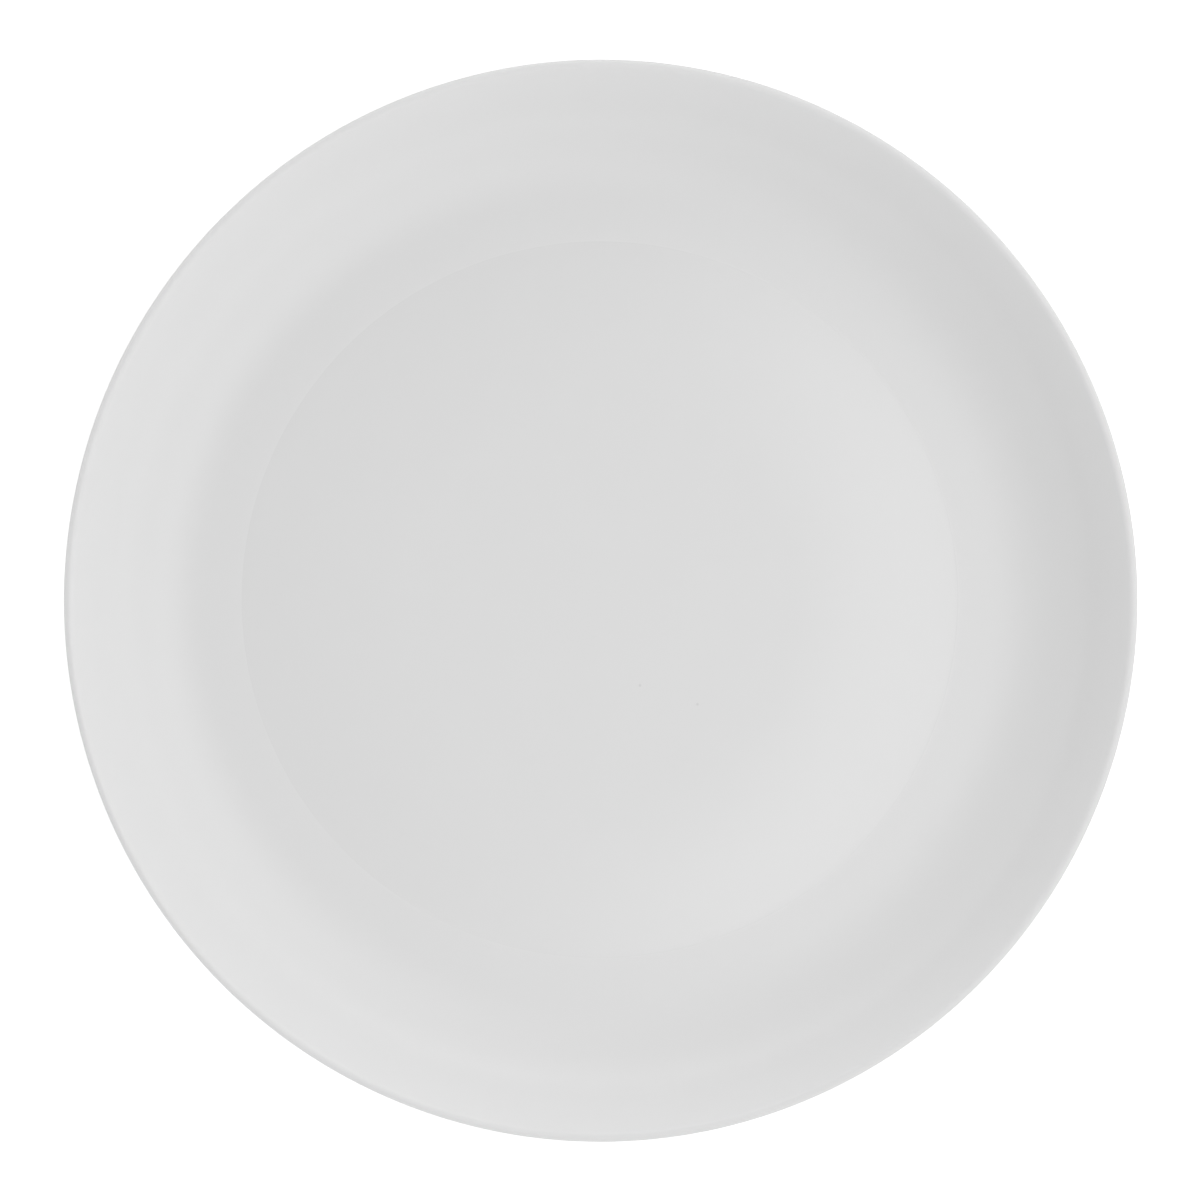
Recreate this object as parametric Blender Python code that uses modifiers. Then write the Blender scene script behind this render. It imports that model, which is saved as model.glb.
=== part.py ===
# Rimless soup plate: a fired porcelain body under two separate patches of glaze.
# Metres, +Z up. The origin is the centre of the foot's bearing face.

import math

import bpy

# Overall size, over the glaze
RIM_DIAMETER = 0.230
PLATE_HEIGHT = 0.025
LIP_THICKNESS = 0.0022

# Wall, from the lip down to the floor
WALL_RUN = 0.0285          # from the rim in to the start of the knuckle
KNUCKLE_RADIUS = 0.0245    # inside curve between the floor and the wall
WALL_THICKNESS = 0.0042    # at the knuckle; it tapers to the lip

# Floor
FLOOR_THICKNESS = 0.0045   # in the middle
SHELF_WIDTH = 0.0093       # level ring between the crowned floor and the knuckle
CROWN_WIDTH = 0.0350       # ring where the crowned floor falls to the shelf
CROWN_HEIGHT = 0.0008      # the middle of the floor stands this much above the shelf

# Foot ring
FOOT_HEIGHT = 0.0050       # bearing face to the underside of the floor
FOOT_WIDTH = 0.0046        # over its glaze
FOOT_INSET = 0.0022        # foot's middle line, inside the edge of the crowned floor
FOOT_FILLET = 0.0018
FOOT_EDGE_RADIUS = 0.0008

# Glaze
GLAZE_THICKNESS = 0.0003
GLAZE_SEAT = 0.0001        # clearance between the glaze and the fired body
BARE_BAND = 0.0013         # the foot is bare from its bearing face up to here

# Finishes: linear colour, roughness
PORCELAIN_FINISH = ((0.74, 0.72, 0.68), 0.70)
FACE_GLAZE_FINISH = ((0.72, 0.72, 0.72), 0.12)
RECESS_GLAZE_FINISH = ((0.71, 0.71, 0.71), 0.16)

# Facets
TURN_STEPS = 64
CROWN_STEPS = 3
KNUCKLE_STEPS = 6
LIP_STEPS = 6
FILLET_STEPS = 3
EDGE_STEPS = 2
MERGE_DISTANCE = 0.00001

# Radii and heights that follow from the sizes above
RIM_RADIUS = RIM_DIAMETER / 2
LIP_RADIUS = LIP_THICKNESS / 2
KNUCKLE_START = RIM_RADIUS - WALL_RUN
FLOOR_EDGE = KNUCKLE_START - SHELF_WIDTH
FLOOR_LEVEL_EDGE = FLOOR_EDGE - CROWN_WIDTH
FOOT_MIDDLE = FLOOR_EDGE - FOOT_INSET
FLOOR_TOP = FOOT_HEIGHT + FLOOR_THICKNESS
SHELF_TOP = FLOOR_TOP - CROWN_HEIGHT
WALL_UNDERSIDE = SHELF_TOP - WALL_THICKNESS
BODY_DEPTH = GLAZE_THICKNESS + GLAZE_SEAT

# The knuckle stays short of the arc that would run all the way up to the lip
KNUCKLE_FIT = 0.9
WALL_RISE = PLATE_HEIGHT - SHELF_TOP
WALL_REACH = WALL_RUN - LIP_THICKNESS
FULL_ARC = (WALL_REACH ** 2 + WALL_RISE ** 2) / (2 * WALL_RISE)
KNUCKLE = min(KNUCKLE_RADIUS, KNUCKLE_FIT * FULL_ARC)
KNUCKLE_CENTRE = (KNUCKLE_START, SHELF_TOP + KNUCKLE)
LIP_CENTRE = (RIM_RADIUS - LIP_RADIUS, PLATE_HEIGHT - LIP_RADIUS)

UP = math.pi / 2
OUT = 0.0
DOWN = -math.pi / 2


def arc(centre, radius, start, end, steps):
    """Points from one angle to another; angle 0 points away from the axis."""
    angles = [start + (end - start) * i / steps for i in range(steps + 1)]
    return [
        (centre[0] + radius * math.cos(a), centre[1] + radius * math.sin(a))
        for a in angles
    ]


def wall_angles():
    """Normals of the wall's two faces: each face is tangent to knuckle and lip."""
    across = LIP_CENTRE[0] - KNUCKLE_CENTRE[0]
    up = LIP_CENTRE[1] - KNUCKLE_CENTRE[1]
    distance = math.hypot(across, up)
    bearing = math.atan2(up, across)
    inner = bearing + math.asin((KNUCKLE + LIP_RADIUS) / distance)
    outer = bearing + math.asin((KNUCKLE + WALL_THICKNESS - LIP_RADIUS) / distance)
    return inner + UP, outer + DOWN


def floor_points(depth):
    """Level middle, gentle fall of the crown, level shelf."""
    points = [(0.0, FLOOR_TOP - depth), (FLOOR_LEVEL_EDGE, FLOOR_TOP - depth)]
    for i in range(1, CROWN_STEPS + 1):
        share = i / CROWN_STEPS
        fall = CROWN_HEIGHT * share * share
        points.append((FLOOR_LEVEL_EDGE + CROWN_WIDTH * share, FLOOR_TOP - fall - depth))
    return points


def wall_points(depth):
    """Up the inside, over the lip and down the outside to the wall's underside."""
    inner, outer = wall_angles()
    knuckle_in = arc(
        KNUCKLE_CENTRE, KNUCKLE + depth, DOWN, inner - math.pi, KNUCKLE_STEPS
    )
    lip = arc(LIP_CENTRE, LIP_RADIUS - depth, inner, outer, LIP_STEPS)
    knuckle_out = arc(
        KNUCKLE_CENTRE, KNUCKLE + WALL_THICKNESS - depth, outer, DOWN, KNUCKLE_STEPS
    )
    return knuckle_in + lip + knuckle_out


def foot_fillet(face, ceiling, side, depth):
    """Hollow curve between the foot's upright face and the surface above it.

    side is +1 on the foot's outer face and -1 on its inner face."""
    radius = min(FOOT_FILLET, ceiling - BARE_BAND)
    centre = (face + side * radius, ceiling - radius)
    toward_foot = math.pi if side > 0 else OUT
    return arc(centre, radius + depth, UP, toward_foot, FILLET_STEPS)


def outside_points(depth):
    """The face and the outside, from the middle of the floor down to the bare foot."""
    foot_face = FOOT_MIDDLE + FOOT_WIDTH / 2
    fillet = foot_fillet(foot_face, WALL_UNDERSIDE, +1, depth)
    end = [(foot_face - depth, BARE_BAND)]
    return floor_points(depth) + wall_points(depth) + fillet + end


def recess_points(depth):
    """The hollow inside the foot, from the bare foot in to the axis."""
    foot_face = FOOT_MIDDLE - FOOT_WIDTH / 2
    fillet = foot_fillet(foot_face, FOOT_HEIGHT, -1, depth)
    return [(foot_face + depth, BARE_BAND)] + fillet[::-1] + [(0.0, FOOT_HEIGHT + depth)]


def bearing_points():
    """The bare foot: rounded edges on both sides of a flat bearing face."""
    radius = min(FOOT_EDGE_RADIUS, BARE_BAND)
    half = FOOT_WIDTH / 2 - BODY_DEPTH - radius
    outer = arc((FOOT_MIDDLE + half, radius), radius, OUT, DOWN, EDGE_STEPS)
    inner = arc((FOOT_MIDDLE - half, radius), radius, DOWN, -math.pi, EDGE_STEPS)
    return outer + inner


def coat_section():
    """Glaze over the face and the outside: its surface, then back along its seat."""
    return outside_points(0.0) + outside_points(GLAZE_THICKNESS)[::-1]


def recess_coat_section():
    """Glaze inside the foot: out along its seat, then back along its surface."""
    return recess_points(GLAZE_THICKNESS)[::-1] + recess_points(0.0)


def without_repeats(points):
    """Drops a point that falls on the one before it."""
    kept = points[:1]
    for point in points[1:]:
        if math.dist(point, kept[-1]) > MERGE_DISTANCE:
            kept.append(point)
    return kept


def new_material(name, colour, roughness):
    material = bpy.data.materials.new(name)
    material.use_nodes = True
    shader = material.node_tree.nodes["Principled BSDF"]
    shader.inputs["Base Color"].default_value = (*colour, 1.0)
    shader.inputs["Roughness"].default_value = roughness
    shader.inputs["Metallic"].default_value = 0.0
    return material


def turned(name, profile, material, collection):
    """Turns a profile once round the Z axis, down its outer side."""
    points = without_repeats(profile)
    mesh = bpy.data.meshes.new(name)
    edges = [(i, i + 1) for i in range(len(points) - 1)]
    mesh.from_pydata([(r, 0.0, z) for r, z in points], edges, [])
    part = bpy.data.objects.new(name, mesh)
    collection.objects.link(part)
    mesh.materials.append(material)
    screw = part.modifiers.new("Turn", "SCREW")
    screw.axis = "Z"
    screw.angle = 2 * math.pi
    screw.steps = TURN_STEPS
    screw.render_steps = TURN_STEPS
    screw.use_merge_vertices = True
    screw.merge_threshold = MERGE_DISTANCE
    screw.use_smooth_shade = True


def main():
    for old in list(bpy.data.objects):
        bpy.data.objects.remove(old)
    plate = bpy.data.collections.new("soup_plate")
    bpy.context.scene.collection.children.link(plate)

    porcelain = new_material("porcelain", *PORCELAIN_FINISH)
    face_glaze = new_material("face_glaze", *FACE_GLAZE_FINISH)
    under_glaze = new_material("recess_glaze", *RECESS_GLAZE_FINISH)

    body = outside_points(BODY_DEPTH) + bearing_points() + recess_points(BODY_DEPTH)
    turned("porcelain_body", body, porcelain, plate)
    turned("glaze_coat", coat_section(), face_glaze, plate)
    turned("recess_glaze", recess_coat_section(), under_glaze, plate)


main()
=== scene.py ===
import math

import bmesh
import bpy
from mathutils import Matrix, Vector


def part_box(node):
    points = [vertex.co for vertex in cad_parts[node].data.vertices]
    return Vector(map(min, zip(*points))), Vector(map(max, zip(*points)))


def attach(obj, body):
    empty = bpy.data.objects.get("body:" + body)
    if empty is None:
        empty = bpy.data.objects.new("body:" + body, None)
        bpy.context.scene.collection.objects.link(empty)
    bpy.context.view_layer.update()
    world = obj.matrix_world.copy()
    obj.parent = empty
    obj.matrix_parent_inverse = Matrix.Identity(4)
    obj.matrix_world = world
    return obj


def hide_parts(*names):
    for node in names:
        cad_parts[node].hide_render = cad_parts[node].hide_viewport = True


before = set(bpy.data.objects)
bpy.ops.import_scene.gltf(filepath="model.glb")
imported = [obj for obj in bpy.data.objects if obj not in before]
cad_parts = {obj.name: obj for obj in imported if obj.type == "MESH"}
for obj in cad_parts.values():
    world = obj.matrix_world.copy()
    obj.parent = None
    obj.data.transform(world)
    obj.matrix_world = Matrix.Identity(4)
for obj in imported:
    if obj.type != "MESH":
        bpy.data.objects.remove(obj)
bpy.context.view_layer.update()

scene = bpy.context.scene
print("frame loaded:", ", ".join(sorted(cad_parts)))


# Section of the plate

up = math.pi / 2
out = 0.0
down = -math.pi / 2

plate = {
    "rimRadius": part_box("glaze_coat")[1][0],
    "height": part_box("glaze_coat")[1][2],
    "lipRadius": 0.0011,
    "wallRun": 0.0285,           # rim in to the start of the knuckle
    "knuckleRadius": 0.0245,     # curve between floor and wall, at the CAD's inner face
    "curveRun": 0.0195,          # how far the curve runs inside
    "easing": 1.45,              # and how slowly it starts
    "wallSteps": 40,
    "wallThickness": 0.0042,     # at the knuckle, tapering to the lip
    "floorThickness": 0.0045,
    "shelfWidth": 0.0093,        # ring outside the crowned floor
    "shelfSlope": 0.034,
    "crownWidth": 0.0350,        # ring where the crowned floor falls away
    "crownSlope": 0.058,
    "crownRound": 0.0260,        # part of it where the fall gets steeper
    "crownEdge": 0.0022,         # half the rounding where it meets the shelf
    "underside": 0.0045,         # of the wall, where it leaves the foot
    "footHeight": 0.0050,        # bearing face to the underside of the floor
    "footWidth": 0.0046,         # over its glaze
    "footInset": 0.0022,
    "footFillet": 0.0018,
    "footEdge": 0.0008,
    "glazeThickness": 0.0003,
    "glazeSeat": 0.0001,
    "bareBand": 0.0013,          # bare foot, from the bearing face up
}
plate["knuckleStart"] = plate["rimRadius"] - plate["wallRun"]
plate["floorEdge"] = plate["knuckleStart"] - plate["shelfWidth"]
plate["levelEdge"] = plate["floorEdge"] - plate["crownWidth"]
plate["footMiddle"] = plate["floorEdge"] - plate["footInset"]
plate["floorTop"] = plate["footHeight"] + plate["floorThickness"]
plate["slopes"] = [
    (plate["levelEdge"], 0.0),
    (plate["levelEdge"] + plate["crownRound"], plate["crownSlope"]),
    (plate["floorEdge"] - plate["crownEdge"], plate["crownSlope"]),
    (plate["floorEdge"] + plate["crownEdge"], plate["shelfSlope"]),
    (plate["knuckleStart"], plate["shelfSlope"]),
]
plate["bodyDepth"] = plate["glazeThickness"] + plate["glazeSeat"]
plate["outerKnuckle"] = plate["knuckleRadius"] + plate["wallThickness"]
plate["knuckleCentre"] = (plate["knuckleStart"], plate["underside"] + plate["outerKnuckle"])
plate["lipCentre"] = (plate["rimRadius"] - plate["lipRadius"], plate["height"] - plate["lipRadius"])

shown = {"line": 0.0011, "arc": 0.0008, "lip": 0.00022, "skip": 1}     # point spacing where it shows
hidden = {"line": 0.0060, "arc": 0.0030, "lip": 0.00060, "skip": 4}    # and inside the plate


def linePoints(a, b, spacing):
    steps = max(1, round(math.dist(a, b) / spacing))
    shares = [i / steps for i in range(steps + 1)]
    return [(a[0] + (b[0] - a[0]) * share, a[1] + (b[1] - a[1]) * share) for share in shares]


def arcPoints(centre, radius, start, end, spacing):
    steps = max(2, round(abs(end - start) * radius / spacing))
    angles = [start + (end - start) * i / steps for i in range(steps + 1)]
    return [(centre[0] + radius * math.cos(a), centre[1] + radius * math.sin(a)) for a in angles]


def floorFall(r):
    # how far the floor has fallen at this radius, from the slopes at a few radii
    fall = 0.0
    for (r0, slope0), (r1, slope1) in zip(plate["slopes"], plate["slopes"][1:]):
        along = min(max(r - r0, 0.0), r1 - r0)
        slope = slope0 + (slope1 - slope0) * along / (r1 - r0)
        fall += along * (slope0 + slope) / 2
    return fall


def insideWall(angle):
    # the slope grows from the shelf's to the wall's angle, which then holds up to the lip
    reach = plate["lipCentre"][0] - plate["lipRadius"] * math.sin(angle) - plate["knuckleStart"]
    step = reach / plate["wallSteps"]
    points = [(plate["knuckleStart"], plate["floorTop"] - floorFall(plate["knuckleStart"]))]
    for i in range(plate["wallSteps"]):
        share = min(1.0, step * (i + 0.5) / plate["curveRun"])
        slope = (angle + plate["shelfSlope"]) * share ** plate["easing"] - plate["shelfSlope"]
        points.append((points[-1][0] + step, points[-1][1] + step * math.tan(slope)))
    return points


def wallAngle():
    low, high = math.radians(20.0), math.radians(80.0)
    for i in range(40):
        middle = (low + high) / 2
        short = plate["lipCentre"][1] + plate["lipRadius"] * math.cos(middle) - insideWall(middle)[-1][1]
        low, high = (middle, high) if short > 0 else (low, middle)
    return low


def offsetPoints(points, depth):
    moved = []
    for i, (r, z) in enumerate(points):
        a, b = points[max(i - 1, 0)], points[min(i + 1, len(points) - 1)]
        length = math.dist(a, b)
        moved.append((r + depth * (b[1] - a[1]) / length, z - depth * (b[0] - a[0]) / length))
    return moved


def outerNormal():
    # the outer face is a straight line that touches the outer knuckle and the lip
    across = plate["lipCentre"][0] - plate["knuckleCentre"][0]
    rise = plate["lipCentre"][1] - plate["knuckleCentre"][1]
    taper = plate["outerKnuckle"] - plate["lipRadius"]
    return math.atan2(rise, across) + math.asin(taper / math.hypot(across, rise)) + down


def floorSection(depth, spacing):
    radii = linePoints((0.0, 0.0), (plate["knuckleStart"], 0.0), spacing["line"])
    return [(r, plate["floorTop"] - floorFall(r) - depth) for r, z in radii]


def wallSection(depth, spacing):
    angle, outside = wallAngle(), outerNormal()
    wallIn = offsetPoints(insideWall(angle), depth)[1:-1:spacing["skip"]]
    lipRadius, knuckleRadius = plate["lipRadius"] - depth, plate["outerKnuckle"] - depth
    lip = arcPoints(plate["lipCentre"], lipRadius, angle + up, outside, spacing["lip"])
    knuckleOut = arcPoints(plate["knuckleCentre"], knuckleRadius, outside, down, spacing["arc"])
    wallOut = linePoints(lip[-1], knuckleOut[0], spacing["line"])[1:-1]
    return wallIn + lip + wallOut + knuckleOut


def filletSection(face, ceiling, side, depth, spacing):
    radius = plate["footFillet"]
    centre = (face + side * radius, ceiling - radius)
    towardFoot = math.pi if side > 0 else out
    return arcPoints(centre, radius + depth, up, towardFoot, spacing["lip"])


def outsideSection(depth, spacing):
    face = plate["footMiddle"] + plate["footWidth"] / 2
    fillet = filletSection(face, plate["underside"], +1, depth, spacing)
    flat = linePoints((plate["knuckleStart"], fillet[0][1]), fillet[0], spacing["line"])[1:-1]
    return floorSection(depth, spacing) + wallSection(depth, spacing) + flat + fillet


def recessSection(depth, spacing):
    face = plate["footMiddle"] - plate["footWidth"] / 2
    fillet = filletSection(face, plate["footHeight"], -1, depth, spacing)[::-1]
    return fillet + linePoints(fillet[-1], (0.0, fillet[-1][1]), spacing["line"])[1:]


def glazeEnd(side):
    # the glaze thins to nothing in a small roll where the foot was wiped
    thickness = plate["glazeThickness"]
    face = plate["footMiddle"] + side * plate["footWidth"] / 2
    centre = (face - side * thickness, plate["bareBand"] + thickness)
    start = out if side > 0 else math.pi
    end = down if side > 0 else 3 * math.pi / 2
    return arcPoints(centre, thickness, start, end, thickness / 4)


def bearingSection(spacing):
    edge = plate["footEdge"]
    half = plate["footWidth"] / 2 - plate["bodyDepth"] - edge
    outer = arcPoints((plate["footMiddle"] + half, edge), edge, out, down, spacing["lip"])
    inner = arcPoints((plate["footMiddle"] - half, edge), edge, down, -math.pi, spacing["lip"])
    return outer + linePoints(outer[-1], inner[0], spacing["line"])[1:-1] + inner


# Geometry Nodes: turn a section and warp it a little, as firing does

firing = {
    "ovalness": 0.0083,      # the rim is narrower along X by this share
    "rimDip": 0.00025,       # the rim is lower along X
    "ripple": 0.000012,      # unevenness of the surface
    "rippleSize": 0.028,
    "seed": 3.0,
    "mergeDistance": 0.000002,
}


def newTree(name, kind, sockets):
    tree = bpy.data.node_groups.new(name, kind)
    for socketName, direction, socketType, value in sockets:
        socket = tree.interface.new_socket(socketName, in_out=direction, socket_type=socketType)
        if value is not None:
            socket.default_value = value
    return tree


def addNode(tree, kind, inputs=None, **settings):
    node = tree.nodes.new(kind)
    for key, value in settings.items():
        setattr(node, key, value)
    for key, value in (inputs or {}).items():
        if isinstance(value, bpy.types.NodeSocket):
            tree.links.new(value, node.inputs[key])
        else:
            node.inputs[key].default_value = value
    return node


def maths(tree, operation, a, b=0.0):
    return addNode(tree, "ShaderNodeMath", {0: a, 1: b}, operation=operation).outputs[0]


def buildTurningTree():
    tree = newTree("turnedPiece", "GeometryNodeTree", [
        ("Section", "INPUT", "NodeSocketGeometry", None),
        ("Turn Steps", "INPUT", "NodeSocketInt", 64),
        ("Rim Radius", "INPUT", "NodeSocketFloat", 0.1),
        ("Rim Height", "INPUT", "NodeSocketFloat", 0.03),
        ("Ovalness", "INPUT", "NodeSocketFloat", 0.0),
        ("Rim Dip", "INPUT", "NodeSocketFloat", 0.0),
        ("Ripple", "INPUT", "NodeSocketFloat", 0.0),
        ("Ripple Size", "INPUT", "NodeSocketFloat", 0.03),
        ("Seed", "INPUT", "NodeSocketFloat", 0.0),
        ("Finish", "INPUT", "NodeSocketMaterial", None),
        ("Piece", "OUTPUT", "NodeSocketGeometry", None),
    ])
    given = tree.nodes.new("NodeGroupInput").outputs
    curve = addNode(tree, "GeometryNodeMeshToCurve", {"Mesh": given["Section"]})
    back = maths(tree, "MULTIPLY", given["Rim Radius"], -1.0)
    shift = addNode(tree, "ShaderNodeCombineXYZ", {"X": back})
    laid = addNode(tree, "GeometryNodeTransform", {
        "Geometry": curve.outputs["Curve"],
        "Translation": shift.outputs[0],
        "Rotation": (up, 0.0, 0.0),
    })
    wheel = addNode(tree, "GeometryNodeCurvePrimitiveCircle", {
        "Resolution": given["Turn Steps"],
        "Radius": given["Rim Radius"],
    })
    turned = addNode(tree, "GeometryNodeCurveToMesh", {
        "Curve": wheel.outputs["Curve"],
        "Profile Curve": laid.outputs["Geometry"],
    })
    merged = addNode(tree, "GeometryNodeMergeByDistance", {
        "Geometry": turned.outputs["Mesh"],
        "Distance": firing["mergeDistance"],
    })
    # everything below grows from nothing at the foot to its full size at the rim
    place = addNode(tree, "GeometryNodeInputPosition").outputs[0]
    axes = addNode(tree, "ShaderNodeSeparateXYZ", {0: place}).outputs
    lift = maths(tree, "DIVIDE", axes["Z"], given["Rim Height"])
    aside = maths(tree, "DIVIDE", axes["X"], given["Rim Radius"])
    narrow = maths(tree, "MULTIPLY", maths(tree, "MULTIPLY", axes["X"], given["Ovalness"]), lift)
    dip = maths(tree, "MULTIPLY", maths(tree, "MULTIPLY", aside, aside), given["Rim Dip"])
    dip = maths(tree, "MULTIPLY", dip, lift)
    warp = addNode(tree, "ShaderNodeCombineXYZ", {
        "X": maths(tree, "MULTIPLY", narrow, -1.0),
        "Z": maths(tree, "MULTIPLY", dip, -1.0),
    })
    warped = addNode(tree, "GeometryNodeSetPosition", {
        "Geometry": merged.outputs["Geometry"],
        "Offset": warp.outputs[0],
    })
    noise = addNode(tree, "ShaderNodeTexNoise", {
        "Vector": place,
        "W": given["Seed"],
        "Scale": maths(tree, "DIVIDE", 1.0, given["Ripple Size"]),
        "Detail": 2.0,
    }, noise_dimensions="4D")
    depth = maths(tree, "MULTIPLY", noise.outputs["Fac"], given["Ripple"])
    depth = maths(tree, "MULTIPLY", maths(tree, "MULTIPLY", depth, lift), -1.0)
    normal = addNode(tree, "GeometryNodeInputNormal").outputs[0]
    inward = addNode(tree, "ShaderNodeVectorMath", {0: normal, "Scale": depth}, operation="SCALE")
    rippled = addNode(tree, "GeometryNodeSetPosition", {
        "Geometry": warped.outputs["Geometry"],
        "Offset": inward.outputs[0],
    })
    smooth = addNode(tree, "GeometryNodeSetShadeSmooth", {"Geometry": rippled.outputs["Geometry"]})
    real = addNode(tree, "GeometryNodeRealizeInstances", {"Geometry": smooth.outputs["Geometry"]})
    dressed = addNode(tree, "GeometryNodeSetMaterial", {
        "Geometry": real.outputs["Geometry"],
        "Material": given["Finish"],
    })
    addNode(tree, "NodeGroupOutput", {"Piece": dressed.outputs["Geometry"]})
    return tree


def makeTurned(name, section, tree, steps, finish):
    lineMesh = bpy.data.meshes.new(name + "Section")
    edges = [(i, i + 1) for i in range(len(section) - 1)]
    lineMesh.from_pydata([(r, 0.0, z) for r, z in section], edges, [])
    guide = bpy.data.objects.new(name + "Section", lineMesh)
    scene.collection.objects.link(guide)
    turning = guide.modifiers.new("turning", "NODES")
    turning.node_group = tree
    values = {
        "Turn Steps": steps,
        "Rim Radius": plate["rimRadius"],
        "Rim Height": plate["height"],
        "Ovalness": firing["ovalness"],
        "Rim Dip": firing["rimDip"],
        "Ripple": firing["ripple"],
        "Ripple Size": firing["rippleSize"],
        "Seed": firing["seed"],
        "Finish": finish,
    }
    for item in tree.interface.items_tree:
        if item.in_out == "INPUT" and item.name in values:
            turning[item.identifier] = values[item.name]
    graph = bpy.context.evaluated_depsgraph_get()
    mesh = bpy.data.meshes.new_from_object(guide.evaluated_get(graph))
    mesh.name = name
    bpy.data.objects.remove(guide)
    shape = bmesh.new()
    shape.from_mesh(mesh)
    bmesh.ops.recalc_face_normals(shape, faces=shape.faces)
    shape.to_mesh(mesh)
    shape.free()
    piece = bpy.data.objects.new(name, mesh)
    scene.collection.objects.link(piece)
    print("turned", name, len(mesh.polygons), "faces")
    return piece


# Finishes

glaze = {
    "colour": (0.80, 0.80, 0.80),
    "roughness": 0.15,
    "shelfRoughness": 0.295,     # rougher outside the ring in the floor
    "shelfSpan": (0.0764, 0.0777),
    "wallRoughness": 0.40,       # and more so on the wall
    "wallSpan": (0.084, 0.092),
    "glossRange": 0.02,
    "waveSize": 0.025,           # slow waves in the glass
    "waveDepth": 0.000008,
    "peelSize": 0.0032,          # orange peel
    "peelDepth": 0.0000016,
    "mottleSize": 0.011,         # cloudiness of the white
    "mottle": 0.012,
    "pinholeGap": 0.009,
    "pinholeRadius": 0.00014,
    "pinholeTone": 0.05,
    "pinholeDepth": 0.00003,
}
faceMarks = {
    "rings": {"span": (0.010, 0.032), "fade": 0.006, "pitch": 0.0035, "depth": 0.0000012},
    # whiter ring up to the knuckle: partly pooled glaze, partly painted light that lifts the shade where
    # the wall meets the floor
    "glazePoolAndPaintedShading": {"rise": (0.030, 0.086), "fall": (0.088, 0.100), "tone": 0.020},
    "specks": [(0.0085, -0.0183), (0.0209, -0.0224)],
    "speckRadius": 0.00045,
    "speckCore": 0.00009,
    "speckTone": 0.11,
}
recessMarks = {
    "rings": {"span": (0.006, 0.066), "fade": 0.008, "pitch": 0.0042, "depth": 0.0000040},
    # painted shade: the recess glaze darkens towards the foot ring
    "glazePoolAndPaintedShading": {"rise": (0.060, 0.070), "fall": (0.090, 0.100), "tone": -0.02},
    "specks": [],
}


def newFinish(name):
    finish = bpy.data.materials.new(name)
    finish.use_nodes = True
    return finish, finish.node_tree, finish.node_tree.nodes["Principled BSDF"]


def softEdge(tree, value, span, start, end):
    edge = addNode(tree, "ShaderNodeMapRange", {
        "Value": value,
        "From Min": span[0],
        "From Max": span[1],
        "To Min": start,
        "To Max": end,
    }, interpolation_type="SMOOTHSTEP")
    return edge.outputs["Result"]


def vectorMaths(tree, operation, a, b=(0.0, 0.0, 0.0)):
    return addNode(tree, "ShaderNodeVectorMath", {0: a, 1: b}, operation=operation).outputs


def scaled(tree, colour, share):
    inputs = {0: colour, "Scale": share}
    return addNode(tree, "ShaderNodeVectorMath", inputs, operation="SCALE").outputs[0]


def noiseAt(tree, place, size, detail):
    scale = maths(tree, "DIVIDE", 1.0, size)
    noise = addNode(tree, "ShaderNodeTexNoise", {"Vector": place, "Scale": scale, "Detail": detail})
    return maths(tree, "SUBTRACT", noise.outputs["Fac"], 0.5)


def buildUnevenness():
    tree = newTree("glazeUnevenness", "ShaderNodeTree", [
        ("Place", "INPUT", "NodeSocketVector", None),
        ("Wave Size", "INPUT", "NodeSocketFloat", 0.025),
        ("Wave Depth", "INPUT", "NodeSocketFloat", 0.0),
        ("Peel Size", "INPUT", "NodeSocketFloat", 0.003),
        ("Peel Depth", "INPUT", "NodeSocketFloat", 0.0),
        ("Mottle Size", "INPUT", "NodeSocketFloat", 0.01),
        ("Mottle", "INPUT", "NodeSocketFloat", 0.0),
        ("Tone", "OUTPUT", "NodeSocketFloat", None),
        ("Gloss", "OUTPUT", "NodeSocketFloat", None),
        ("Height", "OUTPUT", "NodeSocketFloat", None),
    ])
    given = tree.nodes.new("NodeGroupInput").outputs
    wave = noiseAt(tree, given["Place"], given["Wave Size"], 1.0)
    peel = noiseAt(tree, given["Place"], given["Peel Size"], 2.0)
    cloud = noiseAt(tree, given["Place"], given["Mottle Size"], 3.0)
    waves = maths(tree, "MULTIPLY", wave, given["Wave Depth"])
    peels = maths(tree, "MULTIPLY", peel, given["Peel Depth"])
    addNode(tree, "NodeGroupOutput", {
        "Tone": maths(tree, "ADD", maths(tree, "MULTIPLY", cloud, given["Mottle"]), 1.0),
        "Gloss": maths(tree, "ADD", cloud, wave),
        "Height": maths(tree, "ADD", waves, peels),
    })
    return tree


def buildPinholes():
    # a pinhole shows where the surface passes close to a point of a loose scatter
    tree = newTree("pinholes", "ShaderNodeTree", [
        ("Place", "INPUT", "NodeSocketVector", None),
        ("Gap", "INPUT", "NodeSocketFloat", 0.01),
        ("Radius", "INPUT", "NodeSocketFloat", 0.0002),
        ("Mask", "OUTPUT", "NodeSocketFloat", None),
    ])
    given = tree.nodes.new("NodeGroupInput").outputs
    scatter = addNode(tree, "ShaderNodeTexVoronoi", {
        "Vector": given["Place"],
        "Scale": maths(tree, "DIVIDE", 1.0, given["Gap"]),
    })
    away = maths(tree, "MULTIPLY", scatter.outputs["Distance"], given["Gap"])
    share = maths(tree, "DIVIDE", away, given["Radius"])
    addNode(tree, "NodeGroupOutput", {"Mask": softEdge(tree, share, (0.3, 1.0), 1.0, 0.0)})
    return tree


unevenness = buildUnevenness()
pinholes = buildPinholes()


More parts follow.
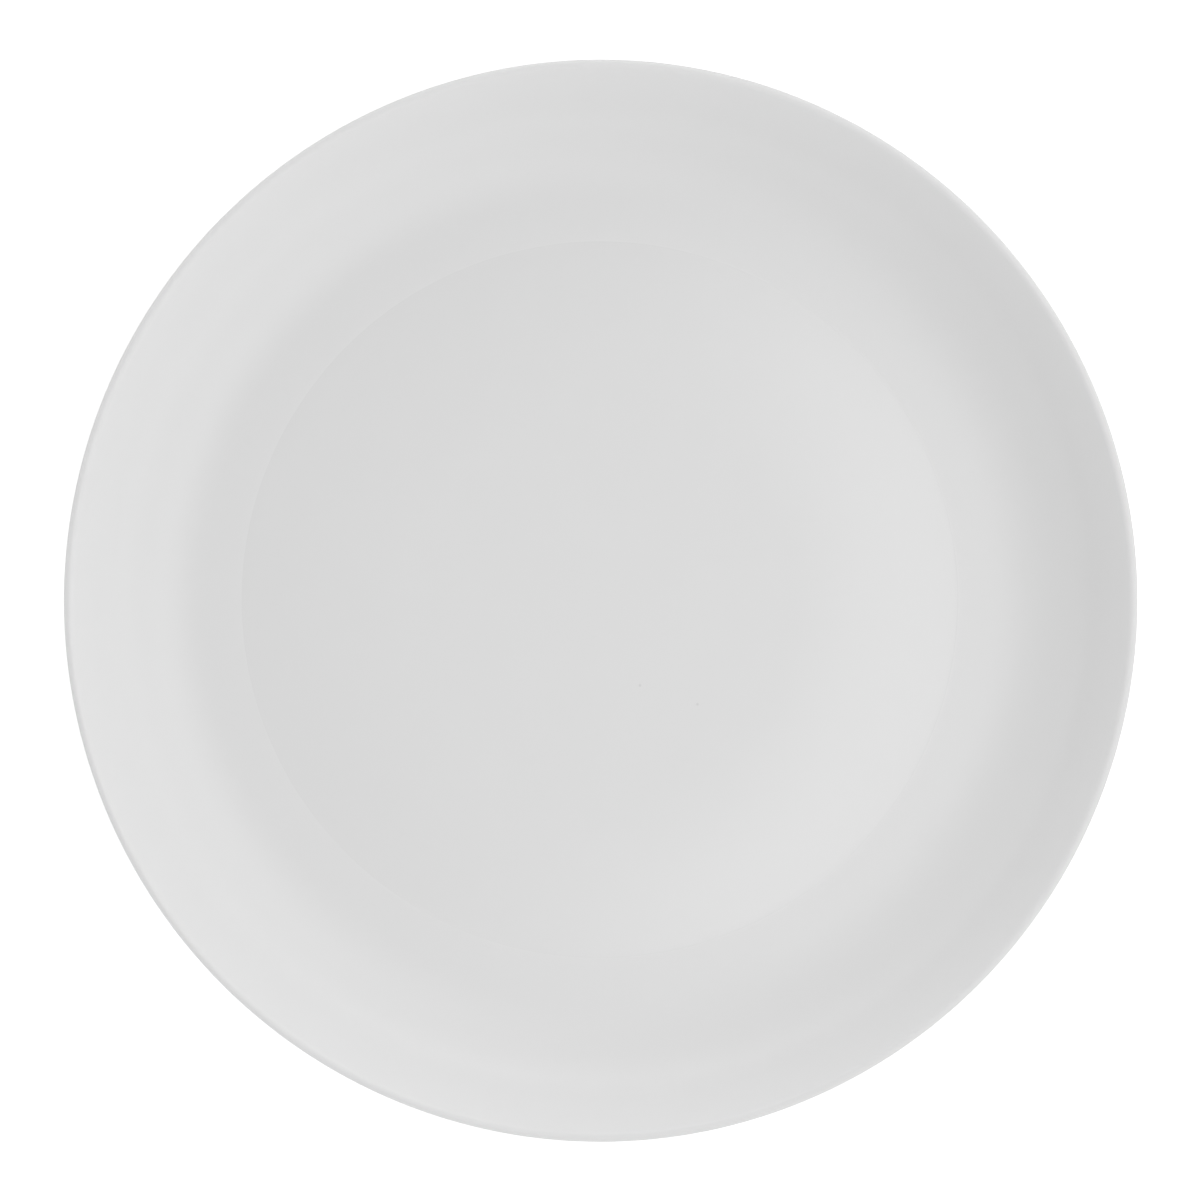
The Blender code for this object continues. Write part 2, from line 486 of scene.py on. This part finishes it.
def ringMarks(tree, radius, rings):
    turn = maths(tree, "MULTIPLY", radius, 2 * math.pi / rings["pitch"])
    height = maths(tree, "MULTIPLY", maths(tree, "SINE", turn), rings["depth"])
    low, high = rings["span"]
    begins = softEdge(tree, radius, (low, low + rings["fade"]), 0.0, 1.0)
    ends = softEdge(tree, radius, (high - rings["fade"], high), 1.0, 0.0)
    return maths(tree, "MULTIPLY", maths(tree, "MULTIPLY", height, begins), ends)


# ring of tone: pooled glaze plus painted light on the face, painted shade in the recess
def glazePoolAndPaintedShadingTone(tree, radius, glazePoolAndPaintedShading):
    rise = softEdge(tree, radius, glazePoolAndPaintedShading["rise"], 0.0, glazePoolAndPaintedShading["tone"])
    return maths(tree, "MULTIPLY", rise, softEdge(tree, radius, glazePoolAndPaintedShading["fall"], 1.0, 0.0))


def makeGlaze(name, marks):
    finish, tree, shader = newFinish(name)
    place = addNode(tree, "ShaderNodeTexCoord").outputs["Object"]
    flat = vectorMaths(tree, "MULTIPLY", place, (1.0, 1.0, 0.0))[0]
    radius = vectorMaths(tree, "LENGTH", flat)["Value"]
    uneven = addNode(tree, "ShaderNodeGroup", node_tree=unevenness)
    tree.links.new(place, uneven.inputs["Place"])
    uneven.inputs["Wave Size"].default_value = glaze["waveSize"]
    uneven.inputs["Wave Depth"].default_value = glaze["waveDepth"]
    uneven.inputs["Peel Size"].default_value = glaze["peelSize"]
    uneven.inputs["Peel Depth"].default_value = glaze["peelDepth"]
    uneven.inputs["Mottle Size"].default_value = glaze["mottleSize"]
    uneven.inputs["Mottle"].default_value = glaze["mottle"]
    holes = addNode(tree, "ShaderNodeGroup", node_tree=pinholes)
    tree.links.new(place, holes.inputs["Place"])
    holes.inputs["Gap"].default_value = glaze["pinholeGap"]
    holes.inputs["Radius"].default_value = glaze["pinholeRadius"]
    hole = holes.outputs["Mask"]
    # adds painted light at the knuckle and pooled glaze on the face, painted shade in the recess
    tone = maths(tree, "ADD", uneven.outputs["Tone"], glazePoolAndPaintedShadingTone(tree, radius, marks["glazePoolAndPaintedShading"]))
    tone = maths(tree, "SUBTRACT", tone, maths(tree, "MULTIPLY", hole, glaze["pinholeTone"]))
    height = maths(tree, "ADD", uneven.outputs["Height"], ringMarks(tree, radius, marks["rings"]))
    height = maths(tree, "SUBTRACT", height, maths(tree, "MULTIPLY", hole, glaze["pinholeDepth"]))
    for x, y in marks["specks"]:
        away = vectorMaths(tree, "DISTANCE", flat, (x, y, 0.0))["Value"]
        span = (marks["speckCore"], marks["speckRadius"])
        tone = maths(tree, "SUBTRACT", tone, softEdge(tree, away, span, marks["speckTone"], 0.0))
    colour = scaled(tree, glaze["colour"], tone)
    tree.links.new(colour, shader.inputs["Base Color"])
    gloss = maths(tree, "MULTIPLY", uneven.outputs["Gloss"], glaze["glossRange"])
    base = softEdge(tree, radius, glaze["shelfSpan"], glaze["roughness"], glaze["shelfRoughness"])
    wallExtra = glaze["wallRoughness"] - glaze["shelfRoughness"]
    base = maths(tree, "ADD", base, softEdge(tree, radius, glaze["wallSpan"], 0.0, wallExtra))
    tree.links.new(maths(tree, "ADD", gloss, base), shader.inputs["Roughness"])
    bump = addNode(tree, "ShaderNodeBump", {"Height": height, "Distance": 1.0, "Strength": 1.0})
    tree.links.new(bump.outputs["Normal"], shader.inputs["Normal"])
    return finish


bare = {
    "colour": (0.74, 0.72, 0.68),
    "wornColour": (0.55, 0.54, 0.52),
    "roughness": 0.72,
    "wornRoughness": 0.50,
    "grainSize": 0.00035,
    "grainDepth": 0.000012,
    "grainTone": 0.10,
    "scuffSize": 0.004,
    "wornHeight": 0.00035,       # wear reaches this far up from the table
    "scuffSpan": (-0.10, 0.12),
    "scuffRange": (0.1, 0.8),
}


def makeBarePorcelain():
    finish, tree, shader = newFinish("barePorcelain")
    place = addNode(tree, "ShaderNodeTexCoord").outputs["Object"]
    height = addNode(tree, "ShaderNodeSeparateXYZ", {0: place}).outputs["Z"]
    grain = noiseAt(tree, place, bare["grainSize"], 3.0)
    scuff = noiseAt(tree, place, bare["scuffSize"], 4.0)
    low = softEdge(tree, height, (0.0, bare["wornHeight"]), 1.0, 0.0)
    worn = maths(tree, "MULTIPLY", low, softEdge(tree, scuff, bare["scuffSpan"], *bare["scuffRange"]))
    colour = addNode(tree, "ShaderNodeMix", {
        0: worn,
        6: (*bare["colour"], 1.0),
        7: (*bare["wornColour"], 1.0),
    }, data_type="RGBA").outputs[2]
    shade = maths(tree, "ADD", maths(tree, "MULTIPLY", grain, bare["grainTone"]), 1.0)
    tree.links.new(scaled(tree, colour, shade), shader.inputs["Base Color"])
    polish = maths(tree, "MULTIPLY", worn, bare["wornRoughness"] - bare["roughness"])
    tree.links.new(maths(tree, "ADD", polish, bare["roughness"]), shader.inputs["Roughness"])
    depth = maths(tree, "MULTIPLY", grain, bare["grainDepth"])
    bump = addNode(tree, "ShaderNodeBump", {"Height": depth, "Distance": 1.0, "Strength": 1.0})
    tree.links.new(bump.outputs["Normal"], shader.inputs["Normal"])
    return finish


# Pieces

turnSteps = {"coat": 256, "recess": 192, "body": 192}
turningTree = buildTurningTree()
glazeFinish = makeGlaze("whiteGlaze", faceMarks)
recessFinish = makeGlaze("recessGlaze", recessMarks)
bareFinish = makeBarePorcelain()

coatSection = outsideSection(0.0, shown) + glazeEnd(+1)
coatSection += outsideSection(plate["glazeThickness"], hidden)[::-1]
coat = makeTurned("glazeCoat", coatSection, turningTree, turnSteps["coat"], glazeFinish)
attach(coat, "root")
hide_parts("glaze_coat")

recessCoatSection = recessSection(plate["glazeThickness"], hidden)[::-1]
recessCoatSection += glazeEnd(-1)[::-1] + recessSection(0.0, shown)
recessCoat = makeTurned("recessGlaze", recessCoatSection, turningTree, turnSteps["recess"], recessFinish)
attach(recessCoat, "root")
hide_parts("recess_glaze")

bodySection = outsideSection(plate["bodyDepth"], hidden) + bearingSection(shown)
bodySection += recessSection(plate["bodyDepth"], hidden)
body = makeTurned("porcelainBody", bodySection, turningTree, turnSteps["body"], bareFinish)
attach(body, "root")
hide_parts("porcelain_body")


# Stage, camera and light

view = {
    "lens": 135.0,
    "sensor": 36.0,
    "framePixels": 1200.0,
    "rimPixels": 541.45,       # half the height of the plate in the photograph
    "leanNorth": 1.5,          # degrees off straight down
    "leanWest": 1.2,
    "aim": (-0.00044, 0.00051),    # so that the leaning rim's outline stays in the middle
}


def makeCamera():
    data = bpy.data.cameras.new("camera")
    data.lens = view["lens"]
    data.sensor_width = view["sensor"]
    camera = bpy.data.objects.new("camera", data)
    scene.collection.objects.link(camera)
    target = Vector((*view["aim"], plate["lipCentre"][1]))
    width = view["framePixels"] / view["rimPixels"] * plate["rimRadius"]
    distance = width * view["lens"] / view["sensor"]
    leanNorth = math.tan(math.radians(view["leanNorth"]))
    leanWest = math.tan(math.radians(view["leanWest"]))
    back = Vector((-leanWest, leanNorth, 1.0)).normalized()
    camera.location = target + back * distance
    right = Vector((0.0, 1.0, 0.0)).cross(back).normalized()
    turn = Matrix((right, back.cross(right), back)).transposed()
    camera.rotation_euler = turn.to_euler()
    scene.camera = camera


paleFloor = {
    "half": 3.0,
    "colour": (0.60, 0.60, 0.60, 1.0),
    "roughness": 0.9,
    "glow": 0.72,              # makes it white to the camera and in reflections, and lights nothing
}


def makeFloor():
    mesh = bpy.data.meshes.new("floor")
    half = paleFloor["half"]
    corners = [(-half, -half, 0.0), (half, -half, 0.0), (half, half, 0.0), (-half, half, 0.0)]
    mesh.from_pydata(corners, [], [(0, 1, 2, 3)])
    floor = bpy.data.objects.new("floor", mesh)
    scene.collection.objects.link(floor)
    finish, tree, shader = newFinish("paleFloor")
    shader.inputs["Base Color"].default_value = paleFloor["colour"]
    shader.inputs["Roughness"].default_value = paleFloor["roughness"]
    shader.inputs["Specular IOR Level"].default_value = 0.0
    light = addNode(tree, "ShaderNodeLightPath")
    seen = maths(tree, "MAXIMUM", light.outputs["Is Camera Ray"], light.outputs["Is Glossy Ray"])
    seen = maths(tree, "MAXIMUM", seen, light.outputs["Is Transmission Ray"])
    shader.inputs["Emission Color"].default_value = (1.0, 1.0, 1.0, 1.0)
    tree.links.new(maths(tree, "MULTIPLY", seen, paleFloor["glow"]), shader.inputs["Emission Strength"])
    mesh.materials.append(finish)


# soft panels of a lighting tent, their strengths fitted to the photograph's shading
# a band of light rises and falls along the direction that it is measured in

def band(direction, rise=None, fall=None):
    return {"toward": direction, "rise": rise, "fall": fall}


def across(azimuth, full, none):
    return band((azimuth + 90.0, 0.0), rise=(-none, -full), fall=(full, none))


def panel(strength, *bands):
    return {"strength": strength, "bands": bands}


above = (0.0, 90.0)        # azimuth and elevation in degrees
key = (-14.0, 0.0)
north = (90.0, 0.0)
south = (-90.0, 0.0)
west = (180.0, 0.0)
keySide = across(key[0], 0.25, 0.5)
keyWide = across(key[0], 0.3, 0.8)
southSide = across(south[0], 0.3, 0.6)
southWide = across(south[0], 0.3, 0.8)

tent = [
    panel(0.20),
    panel(0.61, band(above, fall=(0.05, 0.60))),
    panel(0.28, band(above, rise=(-0.05, 0.20), fall=(0.20, 0.60))),
    panel(0.16, band(key, rise=(-0.14, 0.00), fall=(0.20, 0.40)), keySide),
    panel(0.57, band(key, rise=(-0.04, 0.08), fall=(0.20, 0.40)), keySide),
    panel(1.02, band(key, rise=(0.05, 0.16), fall=(0.20, 0.40)), keySide),
    panel(1.03, band(key, rise=(0.16, 0.36), fall=(0.40, 0.70)), keyWide),
    panel(0.51, band(north, rise=(0.75, 0.97))),
    panel(0.24, band(south, rise=(0.08, 0.28), fall=(0.35, 0.60)), southSide),
    panel(0.21, band(south, rise=(0.35, 0.60), fall=(0.75, 0.95)), southWide),
    panel(0.23, band(south, rise=(0.75, 0.97))),
    panel(0.17, band(west, rise=(0.75, 0.97))),
    panel(0.51, band((45.0, 35.0), rise=(0.6, 1.0))),
    panel(0.39, band((-45.0, 35.0), rise=(0.6, 1.0))),
    panel(0.41, band((135.0, 35.0), rise=(0.6, 1.0))),
    panel(0.14, band((225.0, 35.0), rise=(0.6, 1.0))),
]


def toward(azimuth, elevation):
    a, e = math.radians(azimuth), math.radians(elevation)
    return Vector((math.cos(a) * math.cos(e), math.sin(a) * math.cos(e), math.sin(e)))


def makeWorld():
    world = bpy.data.worlds.new("tent")
    world.use_nodes = True
    tree = world.node_tree
    look = addNode(tree, "ShaderNodeTexCoord").outputs["Generated"]
    total = 0.0
    for light in tent:
        amount = light["strength"]
        for part in light["bands"]:
            facing = vectorMaths(tree, "DOT_PRODUCT", look, toward(*part["toward"]))["Value"]
            if part["rise"]:
                amount = maths(tree, "MULTIPLY", softEdge(tree, facing, part["rise"], 0.0, 1.0), amount)
            if part["fall"]:
                amount = maths(tree, "MULTIPLY", softEdge(tree, facing, part["fall"], 1.0, 0.0), amount)
        total = maths(tree, "ADD", amount, total)
    background = tree.nodes["Background"]
    background.inputs["Color"].default_value = (1.0, 1.0, 1.0, 1.0)
    tree.links.new(total, background.inputs["Strength"])
    scene.world = world


makeCamera()
makeFloor()
makeWorld()
scene.view_settings.view_transform = "Standard"
print("stage ready")
